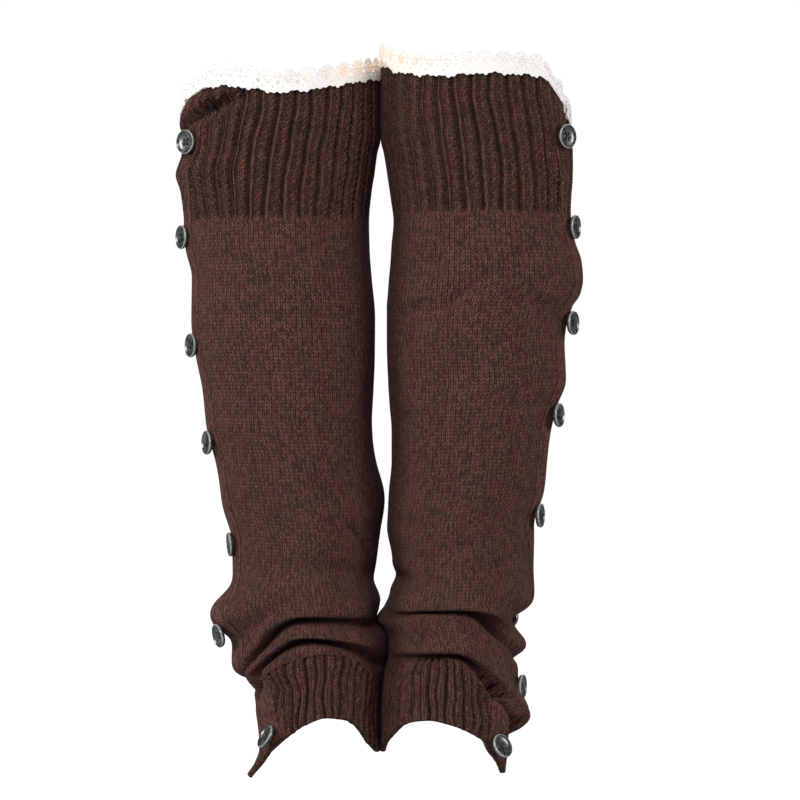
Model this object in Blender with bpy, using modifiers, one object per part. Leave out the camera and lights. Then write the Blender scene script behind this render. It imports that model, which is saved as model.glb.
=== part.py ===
"""A pair of long knitted leg warmers with lace tops and buttons down the outer sides.

Each one is a worn, hollow tube of knitted cloth that stands as if on a leg: a wide-ribbed top cuff, a plain
leg that slumps into folds over the ankle, and a narrow-ribbed bottom cuff arched over the instep. A knitted
button band lies down the outer side, and lace stands round the top edge.

Metres, +Z up, the front faces -Y. The origin is midway between the two top cuffs, at the middle of their
height. Sizes in the tables are in millimetres. "Left" is the leg warmer at -X.

Angles run round a tube in degrees: 0 is the front, 90 the outer side, 180 the back and -90 the inner side.
"""

import math
from bisect import bisect_right
from collections import namedtuple

import bmesh
import bpy
from mathutils import Vector

MM = 0.001

# The colour and roughness of each material
YARN = ((0.068, 0.034, 0.026), 0.95)
COTTON = ((0.89, 0.83, 0.77), 0.85)
MARBLED = ((0.08, 0.09, 0.085), 0.35)

# The cloth
WALL = 2.0
LAID_GAP = 0.3
SEAM_GAP = 0.6
BAND_THICK = 1.6
BAND_WIDTH = 18.0
LACE_THICK = 1.0

# The ribs: how many go round each cuff beside the band, how deep the valleys between them are, and where the
# points of a crest lie on the way from one valley to the next
RIBS = 34
TOP_VALLEY = 2.2
TOP_CREST = (0.22, 0.76)
BOTTOM_VALLEY = 1.7
BOTTOM_CREST = (0.5,)

# The rows of points down each piece. The plain leg has a column of points for each rib.
TOP_ROWS = 7
CALF_ROWS = 7
ANKLE_ROWS = 15
BOTTOM_ROWS = 5

# The slump over the ankle starts at one height and has taken the full shape of the hem at the other
SLUMP_START = -235.0
SLUMP_FULL = -330.0

# The lace, with two columns of points for each rib and a scallop for every three columns. Its outer face
# stands a little inside the outer face of the cloth.
LACE_INSET = 0.5
SCALLOP_COLUMNS = 3
SCALLOP_PHASE = math.pi / 4
LACE_HEIGHT = 10.0
SCALLOP_HEIGHT = 2.0
RUFFLE = 1.2

# The buttons, with the profile of one from the middle of its face to the middle of its back
BUTTON_RADIUS = 7.5
BUTTON_BACK = 6.8
BUTTON_SIDES = 12
MERGE = 0.01
BUTTON_PROFILE = ((0.0, 1.5), (5.2, 1.5), (6.4, 2.6), (BUTTON_RADIUS, 1.8), (BUTTON_BACK, 0.0), (0.0, 0.0))

Section = namedtuple("Section", "height outer inner front back")
Edge = namedtuple("Edge", "angle height")
Fold = namedtuple("Fold", "outer front inner back out_outer out_front out_inner out_back width droop")
Crease = namedtuple("Crease", "angle height length width slope out")
Band = namedtuple("Band", "height angle")
Button = namedtuple("Button", "height turn tilt")
Row = namedtuple("Row", "level slide")
Column = namedtuple("Column", "angle sunk inside")
Leg = namedtuple(
    "Leg", "name side top cuff_end ribs_start hem sections top_edge hem_edge folds creases band buttons"
)

# A section gives how far the cloth reaches outwards from the middle of the pair on the outer and inner side,
# and how far to the front and back. An edge gives the height of the cloth's end at an angle. A fold runs all
# round: its height on four sides, how far it comes out or goes in there, its width and how far it droops.
# A crease is short: its middle, half its length and width, its slope, and how far it comes out or goes in.
LEFT = Leg(
    name="left",
    side=-1,
    top=38.0,
    cuff_end=-48.0,
    ribs_start=-316.0,
    hem=-355.0,
    sections=(
        Section(45, 123, 0.4, 57, 58),
        Section(15, 126, 0.4, 58, 60),
        Section(-2, 126, 0.8, 58, 61),
        Section(-16, 129.5, 3.5, 58, 62),
        Section(-25, 127, 5, 58, 62.5),
        Section(-45, 123, 6.8, 57.5, 64),
        Section(-63, 121.9, 6.4, 57.5, 66),
        Section(-80, 118.7, 5.1, 57.5, 67),
        Section(-105, 118.4, 3, 57, 68),
        Section(-130, 115, 3.2, 56, 67),
        Section(-150, 111.3, 4, 55, 65),
        Section(-170, 110, 5, 54, 63),
        Section(-194, 103.8, 4, 53, 59),
        Section(-219, 100, 2, 52, 55),
        Section(-246, 93, 1.6, 51, 52),
        Section(-268, 93, 3, 51, 50),
        Section(-300, 92, 1.6, 52, 49),
        Section(-320, 94, 0.4, 52, 49),
        Section(-335, 81, -0.7, 53, 49),
        Section(-350, 80, -0.9, 56, 50),
        Section(-374, 77.5, -0.9, 61, 52),
        Section(-382, 80, -0.8, 62, 52.5),
        Section(-393, 86, -0.5, 63, 53),
    ),
    top_edge=(
        Edge(-90, 46),
        Edge(-60, 43),
        Edge(-40, 39),
        Edge(-20, 35),
        Edge(0, 32.5),
        Edge(20, 36),
        Edge(41, 37.4),
        Edge(57, 32),
        Edge(72, 28.5),
        Edge(91, 23),
        Edge(112, 31),
        Edge(140, 39),
        Edge(180, 42),
        Edge(225, 44),
    ),
    hem_edge=(
        Edge(-90, -376),
        Edge(-60, -368),
        Edge(-50, -361),
        Edge(-40, -355),
        Edge(-28, -351),
        Edge(-10, -349.5),
        Edge(10, -353.5),
        Edge(24, -359),
        Edge(40, -366),
        Edge(67, -377),
        Edge(80, -383.5),
        Edge(90, -391),
        Edge(115, -379),
        Edge(140, -366),
        Edge(180, -354),
        Edge(220, -358),
        Edge(250, -366),
    ),
    folds=(
        Fold(-291, -273, -284, -285, 11, 4, 4, 5, 11, 4),
        Fold(-334, -289, -294, -300, -2, -6, -2, -4, 5, 0),
        Fold(-342, -295.5, -308, -309, 0, 2.5, 2, 2, 5, 3),
        Fold(-346, -302.5, -318, -318, -1.5, -4.5, -3, -3, 4.5, 0),
    ),
    creases=(
        Crease(50, 21, 22, 5, -0.35, -4),
        Crease(-115, -217, 30, 22, 0, 7),
        Crease(-30, -261, 34, 5, 0.1, -3),
        Crease(82, -282, 14, 8, 0, 7),
    ),
    band=(
        Band(40, 57),
        Band(5, 59),
        Band(-55, 76),
        Band(-120, 76),
        Band(-182, 72),
        Band(-246, 72),
        Band(-302, 71),
        Band(-350, 51),
        Band(-385, 39),
    ),
    buttons=(
        Button(2.5, 42, 0),
        Button(-55, 62, 0),
        Button(-121.9, 62, 0),
        Button(-181.9, 66, 0),
        Button(-245.6, 78, -5),
        Button(-297, 63, -12),
        Button(-366.9, 62, 30),
    ),
)

RIGHT = Leg(
    name="right",
    side=1,
    top=44.0,
    cuff_end=-44.0,
    ribs_start=-316.0,
    hem=-355.0,
    sections=(
        Section(50, 118, 0.6, 57, 58),
        Section(20, 120.5, 0.6, 58, 60),
        Section(0, 122.5, 1.2, 58, 61),
        Section(-17, 122.9, 4.7, 58, 62),
        Section(-30, 122, 6.6, 58, 62.5),
        Section(-45, 121.4, 8.4, 57.5, 64),
        Section(-59, 123.1, 7.2, 57.5, 66),
        Section(-70, 126.3, 6.5, 57.5, 66.5),
        Section(-82, 127.5, 5.4, 57.5, 67),
        Section(-90, 126, 4.8, 57.5, 67.5),
        Section(-98, 121, 4.2, 57, 68),
        Section(-120, 116.3, 4.2, 56.5, 68),
        Section(-144, 118, 5, 55, 66),
        Section(-160, 112.5, 6, 54.5, 64),
        Section(-176, 108.4, 7.2, 54, 62),
        Section(-194, 106, 7.2, 53, 59),
        Section(-213, 103.7, 5.5, 52, 56),
        Section(-235, 96.5, 4.3, 51.5, 53),
        Section(-256, 95.6, 7.5, 51, 51),
        Section(-277, 94, 6.5, 51, 50),
        Section(-300, 86, 3.8, 52, 49),
        Section(-318, 87, 2.4, 52, 49),
        Section(-335, 86, 1.5, 53, 49),
        Section(-352, 89, 1.5, 56, 50),
        Section(-369, 83, 1.5, 60, 52),
        Section(-390, 80.5, 1.5, 63, 53),
    ),
    top_edge=(
        Edge(-90, 53),
        Edge(-73, 53),
        Edge(-54, 47.5),
        Edge(-17, 43),
        Edge(7, 44.4),
        Edge(43, 44),
        Edge(52, 37),
        Edge(62, 29),
        Edge(72, 21.5),
        Edge(88, 15),
        Edge(102, 18),
        Edge(125, 31),
        Edge(155, 42),
        Edge(225, 46),
    ),
    hem_edge=(
        Edge(-90, -376),
        Edge(-71, -368),
        Edge(-55, -360.5),
        Edge(-45, -355.3),
        Edge(-32, -352.4),
        Edge(-18, -351.3),
        Edge(0, -353.5),
        Edge(22, -360),
        Edge(36, -365.5),
        Edge(46, -372.5),
        Edge(58, -378.6),
        Edge(82, -388.5),
        Edge(105, -383),
        Edge(145, -364),
        Edge(180, -355),
        Edge(215, -357),
        Edge(245, -365),
    ),
    folds=(
        Fold(-276, -269, -283, -280, 3, 3.5, 3, 4, 11, 5),
        Fold(-292, -284, -292, -296, -6, -6, -1, -4, 5.5, 0),
        Fold(-310, -296, -303, -307, 6, 2, 1.5, 3, 7, 4),
        Fold(-350, -302, -309, -335, 6.5, 0, 0, 3, 12, 3),
        Fold(-366, -309.5, -318, -325, -1.5, -4.5, -3, -2.5, 6, 0),
    ),
    creases=(
        Crease(-68, -266, 26, 5, 0, -5),
        Crease(24, -258, 12, 6, -0.3, -3),
    ),
    band=(
        Band(40, 57),
        Band(9, 59),
        Band(-50, 70),
        Band(-108, 75),
        Band(-165, 68),
        Band(-227, 72),
        Band(-292, 108),
        Band(-335, 76),
        Band(-372, 45),
    ),
    buttons=(
        Button(5.7, 45, 0),
        Button(-49.4, 66, 0),
        Button(-108, 62, 0),
        Button(-165, 66, 0),
        Button(-226.9, 72, 0),
        Button(-292, 124, -12),
        Button(-335, 92, 0),
        Button(-369.5, 46, 25),
    ),
)


def smooth(share):
    """A soft step from 0 to 1."""
    share = min(1.0, max(0.0, share))
    return share * share * (3.0 - 2.0 * share)


def curve(places, values, place):
    """The value at a place on a smooth curve through a table's rows that never overshoots them."""
    last = len(places) - 1
    if place <= places[0]:
        return values[0]
    if place >= places[last]:
        return values[last]
    i = bisect_right(places, place) - 1

    def steepness(k):
        if k == 0 or k == last:
            return 0.0
        before = (values[k] - values[k - 1]) / (places[k] - places[k - 1])
        after = (values[k + 1] - values[k]) / (places[k + 1] - places[k])
        return 0.0 if before * after <= 0 else 2.0 * before * after / (before + after)

    span = places[i + 1] - places[i]
    t = (place - places[i]) / span
    held = 1.0 - smooth(t)
    bent = t * (1.0 - t) * span
    start, end = steepness(i) * (1.0 - t), steepness(i + 1) * t
    return values[i] * held + values[i + 1] * (1.0 - held) + bent * (start - end)


def section(leg, height):
    """The outer, inner, front and back reach of a tube at one height, under the band on the outer side."""
    rows = sorted(leg.sections)
    heights = [row.height for row in rows]
    outer, inner, front, back = (curve(heights, [row[k] for row in rows], height) for k in range(1, 5))
    return outer - LAID_GAP - BAND_THICK, inner, front, back


def edge_height(edges, angle):
    """The height of a top edge or a hem at an angle, where the table goes once round."""
    first = edges[0].angle
    turn = (angle - first) % 360.0
    places = [edge.angle - first for edge in edges] + [360.0]
    heights = [edge.height for edge in edges] + [edges[0].height]
    return curve(places, heights, turn)


def around(angle, outer, front, inner, back):
    """Blends what holds on the four sides of a tube."""
    out, ahead = math.sin(math.radians(angle)), math.cos(math.radians(angle))
    sides = (max(0.0, out), max(0.0, ahead), max(0.0, -out), max(0.0, -ahead))
    return sum(side * side * value for side, value in zip(sides, (outer, front, inner, back)))


def course(leg, angle, level):
    """The true height of a row of stitches: level at mid-leg, and bent towards the top edge and the hem."""
    rise = smooth((level - leg.cuff_end) / (leg.top - leg.cuff_end))
    drop = smooth((SLUMP_START - level) / (SLUMP_START - SLUMP_FULL))
    top = edge_height(leg.top_edge, angle) - leg.top
    hem = edge_height(leg.hem_edge, angle) - leg.hem
    return level + rise * top + drop * hem


def bell(distance, width):
    return math.exp(-((distance / width) ** 2))


def cloth(leg, angle, level):
    """The point on the outer face of the cloth at an angle and level, with its folds, as out, ahead and up."""
    height = course(leg, angle, level)
    outer, inner, front, back = section(leg, height)
    half = (outer - inner) / 2.0
    push = sink = 0.0
    for fold in leg.folds:
        swell = bell(height - around(angle, *fold[:4]), fold.width)
        out = around(angle, *fold[4:8])
        push += out * swell
        sink += fold.droop * swell * out / max(fold[4:8])
    for crease in leg.creases:
        along = math.radians((angle - crease.angle + 180.0) % 360.0 - 180.0) * half
        across = height - crease.height - crease.slope * along
        push += crease.out * bell(along, crease.length) * bell(across, crease.width)
    out, ahead = math.sin(math.radians(angle)), math.cos(math.radians(angle))
    depth = front if ahead > 0 else back
    return Vector(((outer + inner) / 2.0 + (half + push) * out, (depth + push) * ahead, height - sink))


def placed(leg, angle, row, sunk=0.0):
    """A point in the world, sunk below the outer face of the cloth, or raised above it where sunk is negative.
    A row may also slide along the cloth, square to its own line, which keeps the gap at a seam even."""
    step_round, step_down = 1.0, 0.7
    level, slide = row
    here = cloth(leg, angle, level)
    round_it = cloth(leg, angle + step_round, level) - cloth(leg, angle - step_round, level)
    up_it = cloth(leg, angle, level + step_down) - cloth(leg, angle, level - step_down)
    outwards = up_it.cross(round_it).normalized()
    spot = here - outwards * sunk + round_it.cross(outwards).normalized() * slide
    return Vector((leg.side * spot.x, -spot.y, spot.z)) * MM


def band_angle(leg, height):
    rows = sorted(leg.band)
    return curve([row.height for row in rows], [row.angle for row in rows], height)


def band_edges(leg, level):
    """The angles of the band's front and back edge where it crosses a level."""
    height = course(leg, band_angle(leg, level), level)
    middle = band_angle(leg, height)
    outer, inner, front, back = section(leg, height)
    radius = (outer - inner + front + back) / 4.0
    half = math.degrees(BAND_WIDTH / 2.0 / radius)
    return middle - half, middle + half


def columns(leg, level, pattern):
    """The columns of points round a tube: two spans under the band, then the pattern from its back edge on
    round to its front edge. A pattern's rows hold the share of the way round, the sinking, and whether the
    inner face has a point there too."""
    front, back = band_edges(leg, level)
    way = 360.0 - (back - front)
    under = [Column(front, 0.0, True), Column((front + back) / 2.0, 0.0, False), Column(back, 0.0, True)]
    return under + [Column(back + way * share, sunk, inside) for share, sunk, inside in pattern]


def plain_pattern():
    return [(k / RIBS, 0.0, True) for k in range(1, RIBS)]


def rib_pattern(valley, crest):
    """Ribs between valleys: the crests stand at the cloth's outer face, and the inner face is plain."""
    rows = []
    for rib in range(RIBS):
        rows += [((rib + share) / RIBS, 0.0, False) for share in crest]
        if rib < RIBS - 1:
            rows.append(((rib + 1) / RIBS, valley, True))
    return rows


def add_object(name, bm, finish, collection):
    """Makes an object with its own material from a finished mesh."""
    bmesh.ops.recalc_face_normals(bm, faces=bm.faces)
    mesh = bpy.data.meshes.new(name)
    bm.to_mesh(mesh)
    bm.free()
    thing = bpy.data.objects.new(name, mesh)
    collection.objects.link(thing)
    mesh.materials.append(material(name, *finish))
    return thing


def material(name, colour, roughness):
    made = bpy.data.materials.new(name)
    made.use_nodes = True
    shader = made.node_tree.nodes["Principled BSDF"]
    shader.inputs["Base Color"].default_value = (*colour, 1.0)
    shader.inputs["Roughness"].default_value = roughness
    shader.inputs["Metallic"].default_value = 0.0
    return made


def skin(bm, rings, closed):
    """Two triangles for each place in a grid of points, always split along the same diagonal."""
    for upper, lower in zip(rings, rings[1:]):
        count = len(upper) if closed else len(upper) - 1
        for i in range(count):
            j = (i + 1) % len(upper)
            bm.faces.new((upper[i], upper[j], lower[j]))
            bm.faces.new((upper[i], lower[j], lower[i]))


def rim(bm, outer, inner, inside):
    """Closes the edge of a wall, where several outer points may share one span of the inner face."""
    starts = [i for i, has_inner in enumerate(inside) if has_inner]
    for k, start in enumerate(starts):
        span = (starts[(k + 1) % len(starts)] - start) % len(outer) or len(outer)
        here, there = inner[k], inner[(k + 1) % len(inner)]
        for step in range(span):
            a, b = outer[(start + step) % len(outer)], outer[(start + step + 1) % len(outer)]
            bm.faces.new((here if step < span // 2 else there, a, b))
            if step == span // 2:
                bm.faces.new((here, a, there))


def tube(leg, name, rows, pattern, thick, collection):
    """A knitted wall all round the leg: an outer face with its ribs over a plain inner face."""
    bm = bmesh.new()
    outer, inner = [], []
    for row in rows:
        ring = columns(leg, row.level, pattern)
        outer.append([bm.verts.new(placed(leg, c.angle, row, c.sunk)) for c in ring])
        inner.append([bm.verts.new(placed(leg, c.angle, row, thick)) for c in ring if c.inside])
    skin(bm, outer, True)
    skin(bm, inner, True)
    inside = [c.inside for c in ring]
    rim(bm, outer[0], inner[0], inside)
    rim(bm, outer[-1], inner[-1], inside)
    return add_object(f"{leg.name}_{name}", bm, YARN, collection)


def button_band(leg, rows, collection):
    """A strip on the outer side, made from the points of the cloth under it, moved out."""
    bm = bmesh.new()
    under, over = [], []
    for row in rows:
        front, back = band_edges(leg, row.level)
        angles = (front, (front + back) / 2.0, back)
        for face, lift in ((under, LAID_GAP), (over, LAID_GAP + BAND_THICK)):
            face.append([bm.verts.new(placed(leg, angle, row, -lift)) for angle in angles])
    skin(bm, under, False)
    skin(bm, over, False)
    for end in (0, -1):
        skin(bm, [under[end], over[end]], False)
        skin(bm, [[points[end] for points in under], [points[end] for points in over]], False)
    face = [[point.co.copy() for point in points] for points in over]
    add_object(f"{leg.name}_button_band", bm, YARN, collection)
    return face


def lace_trim(leg, collection):
    """A ruffled, scalloped ring that stands on the top edge."""
    bm = bmesh.new()
    foot, head = [[], []], [[], []]
    top = Row(leg.top, 0.0)
    posts = [c.angle for c in columns(leg, leg.top, plain_pattern()) if c.inside]
    angles = []
    for here, there in zip(posts, posts[1:] + [posts[0] + 360.0]):
        angles += [here, (here + there) / 2.0]
    for k, angle in enumerate(angles):
        scallop = abs(math.sin(math.pi * k / SCALLOP_COLUMNS + SCALLOP_PHASE))
        free = 1.0 - around(angle, 0.0, 0.0, 1.0, 0.0)
        wave = RUFFLE * free * math.sin(math.tau * k / SCALLOP_COLUMNS)
        height = LACE_HEIGHT + SCALLOP_HEIGHT * scallop
        for face, depth in enumerate((LACE_INSET, LACE_INSET + LACE_THICK)):
            base = placed(leg, angle, top, depth)
            base.z += SEAM_GAP * MM
            foot[face].append(bm.verts.new(base))
            outwards = (placed(leg, angle, top, 0.0) - placed(leg, angle, top, 1.0)) * wave
            outwards.z = 0.0
            head[face].append(bm.verts.new(base + outwards + Vector((0.0, 0.0, height * MM))))
    for face in (0, 1):
        skin(bm, [foot[face], head[face]], True)
    skin(bm, foot, True)
    skin(bm, head, True)
    return add_object(f"{leg.name}_lace_trim", bm, COTTON, collection)


def level_at(leg, angle, height):
    """The level of the row of stitches that crosses an angle at a true height, found by halving."""
    halvings = 30
    low, high = leg.hem, leg.top
    for _ in range(halvings):
        middle = (low + high) / 2.0
        if course(leg, angle, middle) < height:
            low = middle
        else:
            high = middle
    return middle


def highest(face, middle, facing):
    """How far the band's outer face, a grid of points, reaches along a direction behind a button."""
    reach = (BUTTON_BACK + LAID_GAP) * MM
    steps = 10
    best = 0.0
    for upper, lower in zip(face, face[1:]):
        for i in range(len(upper) - 1):
            for a, b, c in ((upper[i], upper[i + 1], lower[i + 1]), (upper[i], lower[i + 1], lower[i])):
                for j in range(steps + 1):
                    for k in range(steps + 1 - j):
                        off = a + (b - a) * (j / steps) + (c - a) * (k / steps) - middle
                        along = off.dot(facing)
                        if (off - facing * along).length < reach:
                            best = max(best, along)
    return best


def add_button(leg, number, button, face, collection):
    """A turned button with a raised rim. Its back rests on the highest place of the band behind it."""
    name = f"{leg.name}_button_{number}"
    bm = bmesh.new()
    corners = [bm.verts.new((r * MM, 0.0, z * MM)) for r, z in BUTTON_PROFILE]
    for a, b in zip(corners, corners[1:]):
        bm.edges.new((a, b))
    thing = add_object(name, bm, MARBLED, collection)
    turned = thing.modifiers.new("turned", "SCREW")
    turned.axis = "Z"
    turned.steps = turned.render_steps = BUTTON_SIDES
    turned.use_merge_vertices = True
    turned.merge_threshold = MERGE * MM
    turned.use_normal_calculate = False

    turn, tilt = math.radians(button.turn), math.radians(button.tilt)
    facing = Vector(
        (leg.side * math.sin(turn) * math.cos(tilt), -math.cos(turn) * math.cos(tilt), math.sin(tilt))
    )
    angle = band_angle(leg, button.height)
    level = level_at(leg, angle, button.height)
    middle = placed(leg, angle, Row(level, 0.0), -LAID_GAP - BAND_THICK)
    thing.location = middle + facing * (highest(face, middle, facing) + LAID_GAP * MM)
    thing.rotation_euler = facing.to_track_quat("Z", "Y").to_euler()
    return thing


def spread(start, end, count):
    """Rows between two levels, the ends included."""
    return [Row(start + (end - start) * k / count, 0.0) for k in range(count + 1)]


def clear_of_seams(rows, above, below):
    """Draws the first or last row of a piece back from its neighbour by half the gap at their seam."""
    first, last = rows[0], rows[-1]
    if above:
        rows[0] = Row(first.level, -SEAM_GAP / 2.0)
    if below:
        rows[-1] = Row(last.level, SEAM_GAP / 2.0)
    return rows


def leg_warmer(leg, collection):
    """One leg warmer, from its top edge down to its hem."""
    top_rows = clear_of_seams(spread(leg.top, leg.cuff_end, TOP_ROWS), False, True)
    leg_rows = spread(leg.cuff_end, SLUMP_START, CALF_ROWS)
    leg_rows += spread(SLUMP_START, leg.ribs_start, ANKLE_ROWS)[1:]
    leg_rows = clear_of_seams(leg_rows, True, True)
    hem_rows = clear_of_seams(spread(leg.ribs_start, leg.hem, BOTTOM_ROWS), True, False)

    ribs = rib_pattern(TOP_VALLEY, TOP_CREST)
    tube(leg, "top_cuff", top_rows, ribs, WALL + TOP_VALLEY, collection)
    tube(leg, "leg", leg_rows, plain_pattern(), WALL, collection)
    ribs = rib_pattern(BOTTOM_VALLEY, BOTTOM_CREST)
    tube(leg, "bottom_cuff", hem_rows, ribs, WALL + BOTTOM_VALLEY, collection)
    face = button_band(leg, top_rows + leg_rows + hem_rows, collection)
    lace_trim(leg, collection)
    for number, button in enumerate(leg.buttons, start=1):
        add_button(leg, number, button, face, collection)


for old in list(bpy.data.objects):
    bpy.data.objects.remove(old)
pair = bpy.data.collections.new("knitted_leg_warmers")
bpy.context.scene.collection.children.link(pair)
leg_warmer(LEFT, pair)
leg_warmer(RIGHT, pair)
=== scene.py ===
"""A pair of long knitted leg warmers with lace tops and buttons down the outer sides.

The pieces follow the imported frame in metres: +Z up, the front faces -Y. The tables are in millimetres.
Angles run round a leg warmer in degrees: 0 is the front, 90 the outer side, 180 the back and -90 the inner
side.
"""

import math
from collections import namedtuple

import bpy
import numpy as np
from mathutils import Matrix, Vector


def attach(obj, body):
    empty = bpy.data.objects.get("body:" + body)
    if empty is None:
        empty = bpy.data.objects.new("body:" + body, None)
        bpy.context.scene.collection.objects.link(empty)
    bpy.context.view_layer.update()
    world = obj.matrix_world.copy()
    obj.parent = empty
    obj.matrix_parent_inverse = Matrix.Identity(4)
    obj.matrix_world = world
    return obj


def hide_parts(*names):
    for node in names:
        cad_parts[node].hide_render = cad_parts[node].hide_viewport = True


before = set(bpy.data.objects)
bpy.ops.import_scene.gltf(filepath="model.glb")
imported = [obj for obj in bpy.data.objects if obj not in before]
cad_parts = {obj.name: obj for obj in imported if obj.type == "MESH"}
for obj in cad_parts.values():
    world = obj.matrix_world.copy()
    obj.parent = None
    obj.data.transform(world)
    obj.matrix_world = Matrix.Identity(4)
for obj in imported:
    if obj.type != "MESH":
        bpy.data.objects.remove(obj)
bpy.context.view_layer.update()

# The studio: a pale floor that runs out of sight into white air, soft lamps ahead of the pair on either side
# and high in front, a weak one behind, and a camera level with the middle of the pair.
MM = 0.001
FLOOR_HEIGHT = -0.42
FLOOR_SIZE = 40.0
FLOOR_GREY = (0.35, 0.35, 0.35, 1.0)
VEIL_GREY = (0.12, 0.12, 0.12, 1.0)
WHITE = (1.0, 1.0, 1.0, 1.0)
AIR_LIGHT = 0.10
CAMERA_PLACE = (0.0125, -1.9, -0.15625)
CAMERA_LENS = 136.8
SENSOR_WIDTH = 36.0

Lamp = namedtuple("Lamp", "name place aim size power")
LAMPS = (
    Lamp("left softbox", (-2.3, -0.9, 0.5), (0.0, 0.0, -0.15), 0.9, 42.0),
    Lamp("right softbox", (2.2, -0.8, 0.4), (0.0, 0.0, -0.15), 0.9, 32.0),
    Lamp("front lamp", (-0.5, -2.1, 1.0), (0.0, 0.0, -0.15), 0.8, 34.0),
    Lamp("back light", (0.3, 2.2, 1.0), (0.0, 0.0, -0.15), 1.6, 12.0),
)


def material(name):
    """A new material, with its nodes and its plain shader."""
    made = bpy.data.materials.new(name)
    made.use_nodes = True
    return made, made.node_tree, made.node_tree.nodes["Principled BSDF"]


def white_where_seen(tree, seen, unseen):
    """Mixes two shaders by whether the camera looks at them straight."""
    path = tree.nodes.new("ShaderNodeLightPath")
    choice = tree.nodes.new("ShaderNodeMixShader")
    tree.links.new(path.outputs["Is Camera Ray"], choice.inputs[0])
    tree.links.new(unseen.outputs[0], choice.inputs[1])
    tree.links.new(seen.outputs[0], choice.inputs[2])
    return choice.outputs[0]


bpy.ops.object.select_all(action="DESELECT")
bpy.ops.mesh.primitive_plane_add(size=FLOOR_SIZE, location=(0.0, 0.0, FLOOR_HEIGHT))
floor = bpy.context.object
floor.name = "floor"
paper, tree, plain = material("white paper")
plain.inputs["Base Color"].default_value = FLOOR_GREY
plain.inputs["Roughness"].default_value = 0.9
glow = tree.nodes.new("ShaderNodeEmission")
lit_glow = tree.nodes.new("ShaderNodeAddShader")
veil = tree.nodes.new("ShaderNodeBsdfDiffuse")
veil.inputs["Color"].default_value = VEIL_GREY
tree.links.new(glow.outputs[0], lit_glow.inputs[0])
tree.links.new(veil.outputs[0], lit_glow.inputs[1])
tree.links.new(white_where_seen(tree, lit_glow, plain), tree.nodes["Material Output"].inputs["Surface"])
floor.data.materials.append(paper)

air = bpy.data.worlds.new("white air")
air.use_nodes = True
tree = air.node_tree
dim = tree.nodes["Background"]
dim.inputs["Color"].default_value = WHITE
dim.inputs["Strength"].default_value = AIR_LIGHT
bright = tree.nodes.new("ShaderNodeBackground")
bright.inputs["Color"].default_value = WHITE
tree.links.new(white_where_seen(tree, bright, dim), tree.nodes["World Output"].inputs["Surface"])
bpy.context.scene.world = air

for lamp in LAMPS:
    direction = Vector(lamp.aim) - Vector(lamp.place)
    turned = direction.to_track_quat("-Z", "Y").to_euler()
    bpy.ops.object.light_add(type="AREA", location=lamp.place, rotation=turned)
    light = bpy.context.object
    light.name = lamp.name
    light.data.size = lamp.size
    light.data.energy = lamp.power

bpy.ops.object.camera_add(location=CAMERA_PLACE, rotation=(math.radians(90.0), 0.0, 0.0))
camera = bpy.context.object
camera.data.sensor_width = SENSOR_WIDTH
camera.data.lens = CAMERA_LENS
bpy.context.scene.camera = camera
bpy.context.scene.view_settings.view_transform = "Standard"

# The legs: tubes of stocking stitch in heather brown wool and acrylic, knitted on from the top cuffs. They
# hang plain down the calf and slump into folds over the ankle. The tables hold the worn shape of the pair.
BAND_THICK = 1.6
BAND_WIDTH = 18.0
LAID_GAP = 0.3
WALL = 2.0
BUTT = 0.02
SUPPORT = 0.1
RIM = 1.0
RIM_STEPS = 5
SLUMP_START = -235.0
SLUMP_FULL = -330.0
LEG_COLUMNS = 216
LEG_WALES = 112
COURSE = 2.2
CALF_ROWS = 112
ANKLE_ROWS = 112
INNER_STEP = 3
# DEEPEST: the depth of relief at which the painted shade in the hollows is full.
DEEPEST = 2.8
SEWN = 2e-6
BAND_MARGIN = 0.5
BAND_SOFT = 1.2
PRESSED_IN = 0.15
PRESSED_ROUND = 26.0

Section = namedtuple("Section", "height outer inner front back")
Edge = namedtuple("Edge", "angle height")
Fold = namedtuple("Fold", "outer front inner back out_outer out_front out_inner out_back width droop")
Crease = namedtuple("Crease", "angle height length width slope out")
Band = namedtuple("Band", "height angle")
Button = namedtuple("Button", "height turn tilt")
Wave = namedtuple("Wave", "turns height phase out")
Press = namedtuple("Press", "height right")
Leg = namedtuple(
    "Leg",
    "name side top cuff_end ribs_start hem sections top_edge hem_edge folds creases band buttons waves",
)


def table(kind, *rows):
    """Rows of numbers as rows of one kind."""
    return tuple(kind(*row) for row in rows)


# Round the ankles the two tubes press together. The line between them lies as far right of the middle as
# this table says, and the sections give 0 for the inner side there.
PRESSED = table(
    Press,
    (-293, -2.3),
    (-297, 0.6),
    (-301, 3.5),
    (-305, 5.0),
    (-311.5, 5.0),
    (-315, 4.5),
    (-319, 3.8),
    (-323, 3.0),
    (-326.5, 2.4),
    (-330, 1.6),
    (-334, 1.1),
    (-338, 0.8),
    (-344, 0.3),
    (-393, 0.0),
)

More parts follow.
